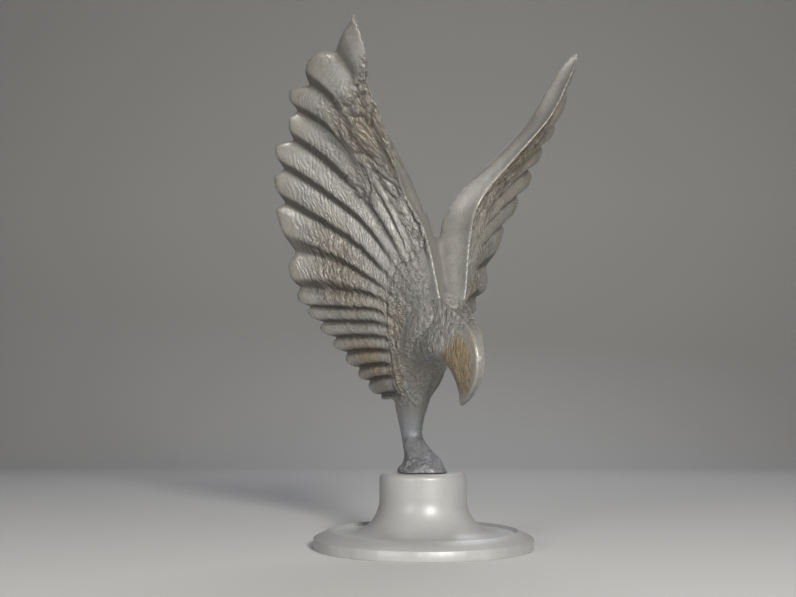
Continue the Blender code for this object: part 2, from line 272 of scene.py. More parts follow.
def wing_loop():
    """Rings round the wing, each from root to tip: outer face, inner face back, and the band."""
    columns = 1.0 + np.arange((FEATHER_COUNT - 1) * COLUMNS_EACH + 1) / COLUMNS_EACH
    share = np.linspace(0.0, 1.0, WING_ROWS)
    feather = np.repeat(columns[:, None], WING_ROWS, axis=1)
    reach = feather_reach(feather) * share[None, :]
    face = wing_point(feather, reach)
    normal = wing_normal(feather, reach)
    back = face + wing_thickness(feather, reach)
    outer = face + normal * shingle(feather, reach)[..., None]
    inner = back + normal * (INNER_DEPTH * shingle(feather, reach))[..., None]
    middle = (outer + inner) / 2
    close = np.clip((share - (1.0 - TIP_ROUND)) / TIP_ROUND, 0.0, 1.0)
    keep = np.sqrt(np.maximum(1.0 - TIP_PINCH * close ** 2, 0.0))[None, :, None]
    outer = middle + (outer - middle) * keep
    inner = middle + (inner - middle) * keep
    blend = np.linspace(0.0, 1.0, BAND_COLUMNS + 2)[1:-1, None, None]
    out = unit(np.cross(inner[0] - outer[0], np.gradient(outer[0], axis=0)))
    band = inner[0] + (outer[0] - inner[0]) * blend + out * np.sin(np.pi * blend) * BAND_BULGE
    rings = np.concatenate([outer, inner[::-1], band])
    kinds = np.repeat([PART_OUTER, PART_INNER, PART_BAND], [len(outer), len(inner), len(band)])
    across_band = 1.0 - BAND_FEATHERS * (1.0 - blend[:, :, 0])
    feathers = np.concatenate([feather, feather[::-1], np.repeat(across_band, WING_ROWS, axis=1)])
    reaches = np.concatenate([reach, reach[::-1], np.repeat(share[None, :], len(band), axis=0)])
    first = np.clip(feathers[:, 0], 1.0, FEATHER_COUNT)
    start = np.zeros_like(first)
    run = unit(wing_point(first, start) - wing_point(first, start + 0.1))
    length = np.interp(first, (EVEN_ROOTS, FEATHER_COUNT), ROOT_LENGTHS)[:, None]
    sink = np.interp(first, (EVEN_ROOTS, FEATHER_COUNT), ROOT_SINKS)[:, None]
    rings[:, 0] += run * length - wing_normal(first, start) * sink
    return rings, kinds, feathers, reaches


wing_rings, wing_kinds, wing_feathers, wing_reaches = wing_loop()
print("wing net", wing_rings.shape[:2], "points")

# %% [markdown]
# ## Body, head and mound
#
# The body is a stack of rounded rings that leans back over the stem. The head is a
# wedge: two crisp ridges run from the wings down to the beak with a narrow flat band
# between them, and the flanks fall away flat from the ridges to the jaw. The mound
# is a lump of rough casting that spreads out on the plinth.

# %% Rings of the body, the head and the mound
BODY_ROWS, BODY_SEGMENTS = 130, 84
HEAD_ROWS, HEAD_SIDE_POINTS, HEAD_TOP_POINTS = 90, 30, 9
MOUND_ROWS, MOUND_SEGMENTS = 50, 72
HEAD_HALF_SECTION = [(0.0, 0.0), (0.22, 0.42), (0.48, 0.80), (0.70, 1.0), (0.88, 0.82), (1.0, 0.2)]
MOUND_ROUGHNESS = 0.35


def body_rings():
    angle = 2 * np.pi * np.arange(BODY_SEGMENTS) / BODY_SEGMENTS
    level = through(BODY_RINGS, np.linspace(0.0, 1.0, BODY_ROWS))[:, :, None]
    up, front, back, half = level[:, 0], level[:, 1], level[:, 2], level[:, 3]
    forward = (front + back) / 2 + (front - back) / 2 * np.cos(angle)
    return np.stack([forward, half * np.sin(angle), up + 0 * forward], axis=-1)


def head_rings():
    section = through(HEAD_HALF_SECTION, np.linspace(0.0, 1.0, HEAD_SIDE_POINTS))
    level = through(HEAD_SECTIONS, np.linspace(0.0, 1.0, HEAD_ROWS))
    rings = []
    for top_forward, top_up, low_forward, low_up, half, band, dip in level:
        width = band + (half - band) * section[:, 1]
        forward = top_forward + (low_forward - top_forward) * section[:, 0]
        up = top_up + (low_up - top_up) * section[:, 0]
        one = np.stack([forward, width, up], axis=1)
        across = np.linspace(-band, band, HEAD_TOP_POINTS + 2)[1:-1]
        hollow = dip * (1.0 - (across / band) ** 2)
        top = np.stack([np.full_like(across, top_forward), across, top_up - hollow], axis=1)
        rings.append(np.concatenate([one, (one * [1, -1, 1])[::-1], top]))
    return np.array(rings)


def mound_rings():
    angle = 2 * np.pi * np.arange(MOUND_SEGMENTS) / MOUND_SEGMENTS
    rings = []
    for share in np.linspace(0.0, 1.0, MOUND_ROWS):
        up, radius, shift = through(MOUND_RINGS, share)
        level = share * (len(MOUND_RINGS) - 1)
        rough = np.sin(3 * angle + 1.7 * level) + 0.7 * np.sin(5 * angle - 2.3 * level)
        out = radius + MOUND_ROUGHNESS * rough * radius / 6.0 * min(1.0, 0.4 + level)
        rings.append(np.stack([shift + out * np.cos(angle), out * np.sin(angle), up + 0 * out], axis=1))
    return np.array(rings)


print("body", body_rings().shape, "head", head_rings().shape, "mound", mound_rings().shape)

# %% [markdown]
# ## One casting
#
# The real eagle was cast in one pour, so its parts flow into each other. The rough
# solids are laid over one another and skinned again as a single surface with cells
# just over half a millimetre wide.

# %% Skin the forms as one surface
CELL = 0.00054
TOP_BAND = -0.3


def grid_faces(rows, around, offset):
    """Quads over rings of points that close on themselves."""
    row, place = np.meshgrid(np.arange(rows - 1), np.arange(around), indexing="ij")
    a = offset + row * around + place
    b = offset + row * around + (place + 1) % around
    return np.stack([a, b, b + around, a + around], axis=-1).reshape(-1, 4).tolist()


def ladder_caps(columns, band, around, offset, last_row):
    """Strips that close a thin wing loop at its root and at its tips."""
    faces = []
    for start, turned in ((offset, False), (offset + last_row * around, True)):
        for i in range(columns - 1):
            pair = [start + i, start + i + 1, start + 2 * columns - 2 - i, start + 2 * columns - 1 - i]
            faces.append(pair[::-1] if turned else pair)
        rim = [start + 2 * columns - 1] + [start + 2 * columns + k for k in range(band)] + [start]
        faces.append(rim[::-1] if turned else rim)
    return faces


def mesh_of(name, spots, shapes):
    mesh = bpy.data.meshes.new(name)
    mesh.from_pydata(spots, [], shapes)
    mesh.shade_smooth()
    return mesh


def put(name, data):
    """A new object in the scene."""
    made = bpy.data.objects.new(name, data)
    bpy.context.collection.objects.link(made)
    return made


def modified(thing):
    """The mesh that an object's modifier makes of it. The object itself goes."""
    bpy.context.view_layer.update()
    mesh = bpy.data.meshes.new_from_object(thing.evaluated_get(bpy.context.evaluated_depsgraph_get()))
    bpy.data.objects.remove(thing, do_unlink=True)
    return mesh


def read(mesh, field):
    """One vector of every vertex."""
    values = np.empty(len(mesh.vertices) * 3)
    mesh.vertices.foreach_get(field, values)
    return values.reshape(-1, 3)


points, faces, facts = [], [], []
total = 0
for side in (-1, 1):
    rows_first = np.transpose(wing_rings, (1, 0, 2))
    around = rows_first.shape[1]
    columns = int((wing_kinds == PART_OUTER).sum())
    points.append(to_frame(rows_first.reshape(-1, 3), side))
    kinds = np.tile(wing_kinds, WING_ROWS)
    facts.append(np.stack([kinds, wing_feathers.T.ravel(), wing_reaches.T.ravel()], axis=1))
    made = grid_faces(WING_ROWS, around, total)
    made += ladder_caps(columns, BAND_COLUMNS, around, total, WING_ROWS - 1)
    faces += [f[::-1] for f in made] if side > 0 else made
    total += WING_ROWS * around
for rings, kind in ((body_rings(), PART_BODY), (head_rings(), PART_HEAD), (mound_rings(), PART_MOUND)):
    rows, around = rings.shape[:2]
    points.append(to_frame(rings.reshape(-1, 3), 1))
    share = np.repeat(np.linspace(0.0, 1.0, rows), around)
    across = np.arange(around) / around
    if kind == PART_HEAD:
        flanks = np.linspace(0.0, 1.0, HEAD_SIDE_POINTS)
        across = np.concatenate([flanks, flanks[::-1], np.full(HEAD_TOP_POINTS, TOP_BAND)])
    facts.append(np.stack([np.full(rows * around, kind), np.tile(across, rows), share], axis=1))
    faces += grid_faces(rows, around, total)
    faces += [list(range(total, total + around))[::-1],
              list(range(total + (rows - 1) * around, total + rows * around))]
    total += rows * around
points, facts = np.concatenate(points), np.concatenate(facts)

rough = put("eagle_forms", mesh_of("eagle_forms", points.tolist(), faces))
skin = rough.modifiers.new("skin", "REMESH")
skin.mode = "VOXEL"
skin.voxel_size = CELL
skinned = modified(rough)
count = len(skinned.vertices)
place = read(skinned, "co")
print("skinned to", count, "points and", len(skinned.polygons), "faces")

# %% [markdown]
# ## Where each point lies
#
# A relief that follows the feathers needs to know its feather. Each point of the new
# skin takes the part, the feather number and the reach of the old points nearest to
# it. The borders between the parts are then softened, so that one relief fades out
# where the next one fades in.

# %% Look up the parts
MASK_ROUNDS = 14

triangles = np.array([(f[0], f[k], f[k + 1]) for f in faces for k in range(1, len(f) - 1)])
tree = bvhtree.BVHTree.FromPolygons(points.tolist(), triangles.tolist())
hits = [tree.find_nearest(p) for p in place]
spot = np.array([h[0] for h in hits])
corner = triangles[[h[2] for h in hits]]
a, b, c = (points[corner[:, k]] for k in range(3))
whole = np.linalg.norm(np.cross(b - a, c - a), axis=1) + 1e-18
share_b = np.linalg.norm(np.cross(spot - a, c - a), axis=1) / whole
share_c = np.linalg.norm(np.cross(b - a, spot - a), axis=1) / whole
shares = np.stack([np.clip(1.0 - share_b - share_c, 0.0, 1.0), share_b, share_c], axis=1)
shares /= shares.sum(axis=1, keepdims=True)
found_kind = facts[corner[np.arange(count), shares.argmax(axis=1)], 0].astype(int)
feather = (facts[corner, 1] * shares).sum(axis=1)
reach = (facts[corner, 2] * shares).sum(axis=1)

edges = np.empty(len(skinned.edges) * 2, int)
skinned.edges.foreach_get("vertices", edges)
edges = edges.reshape(-1, 2)
neighbours = np.bincount(edges.ravel(), minlength=count).astype(float)


def spread(values):
    """The mean of each point's neighbours."""
    flat = values.reshape(count, -1)
    total = np.zeros_like(flat)
    for k in range(flat.shape[1]):
        total[:, k] = (np.bincount(edges[:, 0], flat[edges[:, 1], k], count)
                       + np.bincount(edges[:, 1], flat[edges[:, 0], k], count))
    return (total / neighbours[:, None]).reshape(values.shape)


def soften(values, rounds):
    """Values, or a mask, blurred over the surface."""
    values = values.astype(float)
    for _ in range(rounds):
        values = 0.5 * values + 0.5 * spread(values)
    return values


outer_mask = soften(found_kind == PART_OUTER, 3)
band_mask = soften(found_kind == PART_BAND, 3)
body_mask = soften(found_kind == PART_BODY, MASK_ROUNDS)
head_mask = soften(found_kind == PART_HEAD, MASK_ROUNDS)
mound_mask = soften(found_kind == PART_MOUND, MASK_ROUNDS)
print("points on the outer faces:", int((found_kind == PART_OUTER).sum()))

# %% [markdown]
# ## Softened joints and edges
#
# The wings and the body flow into each other like clay that was stroked smooth, so
# the surface is relaxed round every joint. The leading ridge is rounded a little, as
# polishing would round it. The rear edge of the leading band is as thin as a cell of
# the skin and comes out ragged there, so it's rounded more.

# %% Soften the joints and round the ridges
JOINT_SPREAD, JOINT_ROUNDS, JOINT_PULL = 60, 160, 0.7
STEM_SPREAD = 16
RIDGE_ZONE, RIDGE_ROUNDS, RIDGE_PULL = 0.30, 34, 0.6
REAR_ROUNDS, REAR_PULL, REAR_FEATHER = 90, 0.7, 1.3
LAST_ROUNDS, LAST_PULL = 2, 0.5


def hump(value, centre, width):
    """1 at the centre, falling off evenly on both sides."""
    return np.exp(-((value - centre) / width) ** 2)


def between(value, start, full, fade, gone):
    """0 up to start, 1 from full to fade, and 0 again from gone."""
    return smooth(start, full, value) * fall(fade, gone, value)


def seam(values, rounds):
    """1 on the border of a region and 0 away from it."""
    near = soften(values, rounds)
    return np.clip(4.0 * near * (1.0 - near), 0.0, 1.0)


def relax(spots, weight, pull, rounds):
    """Moves each point towards the mean of its neighbours."""
    for _ in range(rounds):
        spots = spots + pull * weight[:, None] * (spread(spots) - spots)
    return spots


on_wing = np.isin(found_kind, (PART_OUTER, PART_INNER, PART_BAND))
on_band = found_kind == PART_BAND
joint = np.maximum(seam(~on_wing, JOINT_SPREAD), seam(found_kind == PART_MOUND, STEM_SPREAD))
place = relax(place, joint, JOINT_PULL, JOINT_ROUNDS)
ridge_zone = soften(np.maximum(hump(feather, 1.0, RIDGE_ZONE), on_band) * on_wing, 4)
ridge_zone *= fall(0.80, 0.94, reach)
place = relax(place, ridge_zone, RIDGE_PULL, RIDGE_ROUNDS)
rear_band = on_band & (feather < 1.0 - 0.5 * BAND_FEATHERS)
rear_face = (found_kind == PART_INNER) & (feather < REAR_FEATHER)
rear_edge = soften(rear_band | rear_face, 3) * between(reach, 0.12, 0.2, 0.55, 0.7)
place = relax(place, rear_edge, REAR_PULL, REAR_ROUNDS)
place = relax(place, np.ones(count), LAST_PULL, LAST_ROUNDS)
print("joint points softened:", int((joint > 0.3).sum()))

# %% [markdown]
# ## Two kinds of noise
#
# The carving is built from two patterns. Plain noise gives pores and a gentle
# unevenness. Folded noise makes sharp creases between soft pads, like crumpled
# leather. The sizes and depths below are in real millimetres.

# %% Sizes of the relief and its patterns
MM = 0.001
FOLD_SIZE, FOLD_DEPTH = 4.8 * MM, 1.05 * MM
CREASE_SIZE, CREASE_DEPTH = 2.1 * MM, 0.55 * MM
BARB_PITCH, BARB_DEPTH, BARB_SLANT = 2.5 * MM, 0.08 * MM, 5.4
SKIN_SIZE, SKIN_DEPTH = 2.2 * MM, 0.42 * MM
PORE_SIZE, PORE_DEPTH = 1.3 * MM, 0.16 * MM
STREAK_SIZE, STREAK_DEPTH = 1.6 * MM, 0.12 * MM
RIDGE_HEIGHT, RIDGE_WIDTH = 0.45 * MM, 0.24
BEHIND_RIDGE_DEPTH = 0.55 * MM
KNUCKLE_HEIGHT = 0.35 * MM
HEAD_RIDGE_HEIGHT, FLANK_DEPTH = 0.40 * MM, 0.32 * MM
UNEVEN_SIZE, UNEVEN_DEPTH = 3.2 * MM, 0.06 * MM
WOBBLE_SIZE, FINE_WOBBLE_SIZE, MOUND_PATCH_SIZE = 7.0 * MM, 2.6 * MM, 9.0 * MM
FOOT_FLAT = 1.6 * MM
PAD_LEVEL = 0.6


def noise_field(spots, size, shift=0.0, stretch=(1.0, 1.0, 1.0)):
    """Soft noise from about -1 to 1, with bumps of the given size."""
    scaled = (spots * (1.0 / size) * np.array(stretch) + shift).tolist()
    return np.fromiter((noise.noise(Vector(s)) for s in scaled), float, len(scaled)) * 1.6


def folds(spots, size, shift=0.0, stretch=(1.0, 1.0, 1.0)):
    """Soft pads with sharp creases between them, from 0 in a crease to 1 on a pad."""
    bend = np.stack([noise_field(spots, size * 2.2, shift + 11.0 * k) for k in (1, 2, 3)], axis=1)
    wave = noise_field(spots + bend * size * 0.55, size, shift, stretch)
    return np.clip(np.abs(wave) * 1.8, 0.0, 1.0) ** 0.6


print("deepest folds", round(FOLD_DEPTH / MM, 2), "mm")

# %% [markdown]
# ## Carving on the feathers
#
# The coverts are wrinkled all over. The upper long feathers carry fine slanting
# ripples, and their tips stay smooth, because a caster polishes what the hand
# touches. Wrinkles are drawn out along the feathers, so their noise is laid over the
# feather's run and width. High up on the right wing they run on over the leading
# band and its ridge is soft, while the left wing's ridge stays crisp further up.

# %% Relief of the feathers and the leading ridge
LENGTH_COLUMNS, LENGTH_STEPS = 40, 30

left_wing = place[:, 0] > 0
phase = feather_phase(feather)
end = feather_reach(feather)
numbers = np.linspace(1, FEATHER_COUNT, LENGTH_COLUMNS)
net = wing_point(np.repeat(numbers[:, None], LENGTH_STEPS, 1),
                 np.repeat(np.linspace(0, 1, LENGTH_STEPS)[None, :], LENGTH_COLUMNS, 0))
lengths = np.linalg.norm(np.diff(net, axis=1), axis=2).sum(1) * SHARE
run = np.interp(feather, numbers, lengths) * reach
pitch = np.interp(reach, [0.0, 0.3, 1.0], [3.0, 5.5, 9.0]) * MM
sheet = np.stack([run * 0.55, feather * pitch, np.sign(place[:, 0]) * 0.05], axis=1)
fold = folds(sheet, FOLD_SIZE)
crease = folds(sheet + 0.35 * place, CREASE_SIZE, 31.0)
wobble = noise_field(place, WOBBLE_SIZE, 5.0)


def wrinkles(fold_share, crease_share):
    """Height of folds and creases, in shares of their full depths."""
    return fold_share * FOLD_DEPTH * (fold - PAD_LEVEL) + crease_share * CREASE_DEPTH * (crease - PAD_LEVEL)


covered = covert(feather, reach)
band_front = smooth(1.0 - BAND_FEATHERS, 1.0 - 0.4 * BAND_FEATHERS, feather)
wrinkled_band = band_mask * band_front * smooth(0.35, 0.5, reach)
covert_mask = covered * np.clip(outer_mask + wrinkled_band, 0.0, 1.0)
covert_mask *= smooth(0.0, 0.4, np.where(left_wing, feather - 1.05, 1.0))
long_mask = outer_mask * (1.0 - covered) * smooth(1.6, 2.2, feather)
strip = long_mask * smooth(0.10, 0.25, reach) * fall(0.78, 0.9, reach / end)
lobe = hump(feather, 8.0, 1.3) * between(reach, 0.25, 0.45, 0.72, 0.9)
root_wrinkle = outer_mask * fall(0.12, 0.30, reach) * smooth(5.5, 7.5, feather)
height = covert_mask * wrinkles(1.0, 1.0) + strip * wrinkles(0.22, 0.42)
height += outer_mask * lobe * wrinkles(0.45, 0.5) + root_wrinkle * wrinkles(0.5, 0.6)

barb_turn = run / BARB_PITCH + BARB_SLANT * feather + 0.8 * wobble
barb_turn += 0.35 * noise_field(place, FINE_WOBBLE_SIZE, 9.0)
barb_mask = long_mask * fall(0.86, 0.95, reach / end) * fall(8.2, 9.2, feather)
barb_mask *= smooth(0.22, 0.34, reach) * (0.45 + 0.55 * smooth(-0.35, 0.25, wobble + 0.1))
height += BARB_DEPTH * np.sin(2 * np.pi * barb_turn) * barb_mask

front_half = on_band & (feather > 1.0 - 0.6 * BAND_FEATHERS)
edge_mask = soften((found_kind == PART_OUTER) | front_half, 3)
ridge = soften(hump(feather, 1.0, RIDGE_WIDTH) * edge_mask * fall(0.93, 0.99, reach), 6)
behind = soften(hump(feather, 1.42, 0.17) * outer_mask * smooth(0.05, 0.2, reach), 2)
behind *= fall(0.66, 0.8, reach)
crisp = np.where(left_wing, 1.0, fall(0.35, 0.55, reach))
height += crisp * (RIDGE_HEIGHT * ridge * fall(0.7, 0.85, reach) - BEHIND_RIDGE_DEPTH * behind)
knuckle = outer_mask * between(feather, 2.0, 2.8, 6.0, 7.2)
height += KNUCKLE_HEIGHT * knuckle * (hump(reach, 0.17, 0.02) - hump(reach, 0.135, 0.016))
print(f"feather relief from {height.min() / MM:.2f} to {height.max() / MM:.2f} mm")

# %% [markdown]
# ## Skin, head and mound
#
# The body's skin is roughened with small level wrinkles that fade out on the stem.
# The head's flanks are set back a little below their ridges and drawn over with long
# streaks. The mound is left as rough as it came out of the sand. All heights are then
# pressed into the surface along its own outward direction.

# %% Relief of the body, the head and the mound, pressed into the surface
up_share = (place[:, 2] - FIGURE_BASE) / SHARE
skin_fold = folds(place, SKIN_SIZE, 57.0, (0.8, 0.8, 1.25))
pore = noise_field(place, PORE_SIZE, 71.0)
rough_skin = body_mask * smooth(12.5, 17.5, up_share) * (1.0 - 0.5 * smooth(0.2, 0.8, head_mask))
neck_skin = head_mask * fall(0.28, 0.42, reach)
root_skin = outer_mask * fall(0.12, 0.24, reach) * smooth(1.5, 2.5, feather)
any_skin = np.clip(rough_skin + neck_skin + root_skin, 0.0, 1.0)
height += any_skin * (SKIN_DEPTH * (skin_fold - PAD_LEVEL) + PORE_DEPTH * pore)
patchy = smooth(0.0, 0.5, noise_field(place, MOUND_PATCH_SIZE, 3.0) + 0.2)
mound_rough = mound_mask * (0.35 + 0.65 * patchy)
height += mound_rough * (0.9 * SKIN_DEPTH * (skin_fold - PAD_LEVEL) + PORE_DEPTH * pore)

# On the head the first value counts from 0 at a ridge to 1 at the jaw, and is below 0 on top
head_side = feather
head_clear = head_mask * smooth(0.30, 0.42, reach)
streak = noise_field(place, STREAK_SIZE, 91.0, (1.0, 1.0, 0.28))
flank = head_clear * between(head_side, 0.10, 0.22, 0.72, 0.88) * fall(0.80, 0.93, reach)
head_ridge = soften(head_mask * (found_kind == PART_HEAD) * hump(head_side, 0.02, 0.07), 2)
height += HEAD_RIDGE_HEIGHT * head_ridge * smooth(0.12, 0.25, reach)
height += flank * (STREAK_DEPTH * streak - FLANK_DEPTH)
height += UNEVEN_DEPTH * noise_field(place, UNEVEN_SIZE, 13.0) * (1.0 - covert_mask)

skinned.vertices.foreach_set("co", place.ravel())
skinned.update()
height = soften(height, 1)
carved = place + read(skinned, "normal") * height[:, None]
# The casting's foot is cut flat where it stands on the plinth
foot = smooth(FOOT_FLAT, 0.0, carved[:, 2] - carved[:, 2].min())
carved[:, 2] -= foot * (carved[:, 2] - eagle_low.z)
carved = np.clip(carved, np.array(eagle_low), np.array(eagle_high))
skinned.vertices.foreach_set("co", carved.ravel())
skinned.update()
print(f"relief from {height.min() / MM:.2f} to {height.max() / MM:.2f} mm")

# %% [markdown]
# ## Fewer faces where nothing happens
#
# Smooth stretches need few faces and carved ones need many. Collapsing the least
# useful edges brings the casting under its budget and leaves the relief as it is.

# %% Lighten the mesh
TRIANGLE_BUDGET = 196000

heavy = put("eagle_heavy", skinned)
lighter = heavy.modifiers.new("lighter", "DECIMATE")
lighter.ratio = min(1.0, TRIANGLE_BUDGET / (2.0 * len(skinned.polygons)))
cast_mesh = modified(heavy)
cast_mesh.name = "eagle_casting"
cast_tree = kdtree.KDTree(count)
for i, p in enumerate(carved):
    cast_tree.insert(p, i)
cast_tree.balance()
source = np.array([cast_tree.find(p)[1] for p in read(cast_mesh, "co")])
print("kept", len(source), "of", count, "points")

# %% [markdown]
# ## Guides for the patina and the painted shade
#
# The colours come later from values kept on every point: how deep it lies in the
# relief, together with painted shade in the feathers' steep drops, behind the leading
# ridge and across the leading band; how warm its patina is; how cool it is; and how
# much it was rubbed, together with a painted highlight along the middle of each
# feather. Two more say where the finest ripples and wrinkles run. They are narrower
# than the mesh can carry, so the material draws them, and it needs a count of ripples
# and a place on the feather to draw them by.

# %% Keep the guides for the patina and the painted shade on the points
HOLLOW_DEPTH = 0.22 * MM
SHEET_FROM, HEAD_STRETCH, SKIN_STRETCH = 0.14, [1.1, 1.1, 0.35], [0.8, 0.8, 1.2]
# Feather number, reach, width of each, and strength of the ochre blooms
WARM_PATCHES = [(2.2, 0.62, 1.5, 0.16, 0.55), (7.6, 0.62, 1.6, 0.22, 0.5), (9.5, 0.45, 1.5, 0.3, 0.35),
                (12.6, 0.62, 1.1, 0.26, 0.9), (14.2, 0.5, 1.0, 0.4, 0.7), (1.0, 0.42, 0.4, 0.2, 0.5)]

finger = finger_share(feather)
drop = between(phase, 0.58, 0.72, 0.97, 1.0) + 0.8 * fall(0.0, 0.05, phase)
groove = fall(0.08, 0.24, phase) + smooth(0.62, 0.84, phase)
# Painted shade: the steep lower face of each feather and the grooves between the low fingers are darkened
# where light falls less.
shadow = outer_mask * (drop + (groove - drop) * finger) * (1.0 - 0.8 * covered) * (1.0 - 0.8 * joint)
shadow *= smooth(1.2, 2.0, feather) * smooth(0.12, 0.34, reach + 0.04 * finger)
top_band = head_mask * fall(-0.15, -0.02, head_side)
# The hollow value holds the patina left in the relief's hollows plus painted shade: the feathers' drops, the
# groove behind the leading ridge, and the leading band darkening towards its rear edge. The mound and the
# head's top band are simply made darker.
hollow = 0.7 * np.clip((soften(height, 10) - height) / HOLLOW_DEPTH, -1.0, 1.0)
hollow += 0.9 * shadow + 0.8 * behind * crisp + 0.30 * band_mask * (2.0 - band_front)
hollow += 0.40 * mound_mask + 0.30 * top_band

warm = sum(strength * outer_mask * hump(feather, at, wide) * hump(reach, reach_at, reach_wide)
           for at, reach_at, wide, reach_wide, strength in WARM_PATCHES)
warm += 0.35 * outer_mask * fall(0.05, 0.3, reach) * smooth(6.0, 9.0, feather)
warm += 1.1 * flank + 0.55 * head_clear * hump(head_side, 0.03, 0.07) * fall(0.75, 0.95, reach)
left_coverts = left_wing * outer_mask * fall(5.0, 6.5, feather) * smooth(0.1, 0.3, reach)
warm += 0.35 * left_coverts
warm += 0.25 * body_mask * between(up_share, 20.0, 24.0, 26.0, 34.0)
cool = fall(10.0, 17.0, up_share)
cool += 0.5 * head_mask * smooth(0.5, 0.8, reach) * fall(-0.15, 0.0, head_side)
wear_and_highlight = outer_mask * smooth(0.86, 0.95, reach / end) * (1.0 - 0.7 * shadow)
wear_and_highlight += 0.5 * soften(ridge, 6) * crisp + 0.6 * head_ridge
# Painted highlight: the middle of each feather and the top of each low finger are lightened as if lit from
# above. The tips and ridges are lightened as wear.
vane = 0.22 * hump(phase, 0.5, 0.13) + 0.25 * finger * hump(phase, 0.45, 0.2)
wear_and_highlight += outer_mask * smooth(0.3, 0.5, reach) * vane
wrinkled = covert_mask + 0.45 * strip + outer_mask * lobe + root_wrinkle + 0.6 * rough_skin + neck_skin
wrinkled += 0.7 * root_skin + 0.7 * mound_rough + 0.75 * flank

guides = {"hollow": np.clip(hollow, -1.0, 1.0), "warm": warm, "cool": cool, "wear_and_highlight": wear_and_highlight,
          "barbed": barb_mask, "wrinkled": np.clip(wrinkled, 0.0, 1.0)}


def keep(name, kind, field, values):
    """Gives each point of the casting the value of the skin's nearest point."""
    cast_mesh.attributes.new(name, kind, "POINT").data.foreach_set(field, values[source].ravel())


for name, values in guides.items():
    keep(name, "FLOAT", "value", soften(values, 2))
keep("barb_turn", "FLOAT", "value", barb_turn)
on_sheet = (on_wing & (reach > SHEET_FROM))[:, None]
drawn_out = place * np.where(found_kind[:, None] == PART_HEAD, HEAD_STRETCH, SKIN_STRETCH)
skin_place = np.where(on_sheet, sheet + 0.35 * place, drawn_out)
keep("sheet", "FLOAT_VECTOR", "vector", skin_place)
print("guides kept:", ", ".join(guides))

# %% [markdown]
# ## The casting in its place
#
# The finished casting takes the place of the eagle's plain solid in the measured
# frame. It rides on the same body.

# %% Put the casting in the frame
cast_mesh.shade_smooth()
cast_mesh.materials.clear()
eagle = put("eagle_casting", cast_mesh)
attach(eagle, "root")
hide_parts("eagle")
print("casting has", sum(len(p.vertices) - 2 for p in cast_mesh.polygons), "triangles")

# %% [markdown]
# ## The plinth
#
# The plinth was turned on a lathe, and its rim was then ground into flat facets.
# A half profile spun round gives the turned parts, and the rim's rings follow a
# polygon instead of a circle. Facets ground by hand are never quite alike, so their
# corners are slightly uneven. Small rounds are left on the edges, because a tool
# never leaves a perfectly sharp one.

# %% Turned and faceted plinth
FOOT_RADIUS, RIM_HEIGHT = 0.0500, 0.0043
DISC_RADIUS, DISC_EDGE_HEIGHT, DISC_DIP = 0.0429, 0.0077, 0.0015
FLARE_RADIUS, FLARE_TOP = 0.0350, 0.0215
COLUMN_RADIUS, COLUMN_EDGE_RADIUS, PLINTH_HEIGHT = 0.0200, 0.0024, 0.0329
RIM_FACETS, STEPS_PER_FACET, FLARE_STEPS, EDGE_STEPS = 60, 4, 28, 12
EDGE_EASE, FOOT_INSET, SHARP_ANGLE = 0.00022, 0.004, math.radians(38.0)
FACET_UNEVENNESS = 0.00030


def plinth_profile():
    """Radius, height and 1 where the ring is faceted, from the underside's middle to the top's."""
    ease = EDGE_EASE
    slope = math.atan2(DISC_EDGE_HEIGHT - RIM_HEIGHT, FOOT_RADIUS - DISC_RADIUS)
    outline = [(FOOT_RADIUS - FOOT_INSET, 0.0, 1), (FOOT_RADIUS - ease, 0.0, 1), (FOOT_RADIUS, ease, 1),
               (FOOT_RADIUS, RIM_HEIGHT - ease, 1),
               (FOOT_RADIUS - ease * math.cos(slope), RIM_HEIGHT + ease * math.sin(slope), 1),
               (DISC_RADIUS + ease, DISC_EDGE_HEIGHT - ease * math.sin(slope), 1),
               (DISC_RADIUS, DISC_EDGE_HEIGHT - ease * 0.4, 1)]
    disc = DISC_EDGE_HEIGHT - DISC_DIP
    outline.append((DISC_RADIUS - DISC_DIP, disc, 0))
    for turn in np.linspace(0.0, math.pi / 2, FLARE_STEPS):
        outline.append((FLARE_RADIUS - (FLARE_RADIUS - COLUMN_RADIUS) * math.sin(turn),
                        disc + (FLARE_TOP - disc) * (1 - math.cos(turn)), 0))
    edge = PLINTH_HEIGHT - COLUMN_EDGE_RADIUS
    for turn in np.linspace(0.0, math.pi / 2, EDGE_STEPS):
        outline.append((COLUMN_RADIUS - COLUMN_EDGE_RADIUS * (1 - math.cos(turn)),
                        edge + COLUMN_EDGE_RADIUS * math.sin(turn), 0))
    outline.append((COLUMN_RADIUS * 0.5, PLINTH_HEIGHT, 0))
    return outline


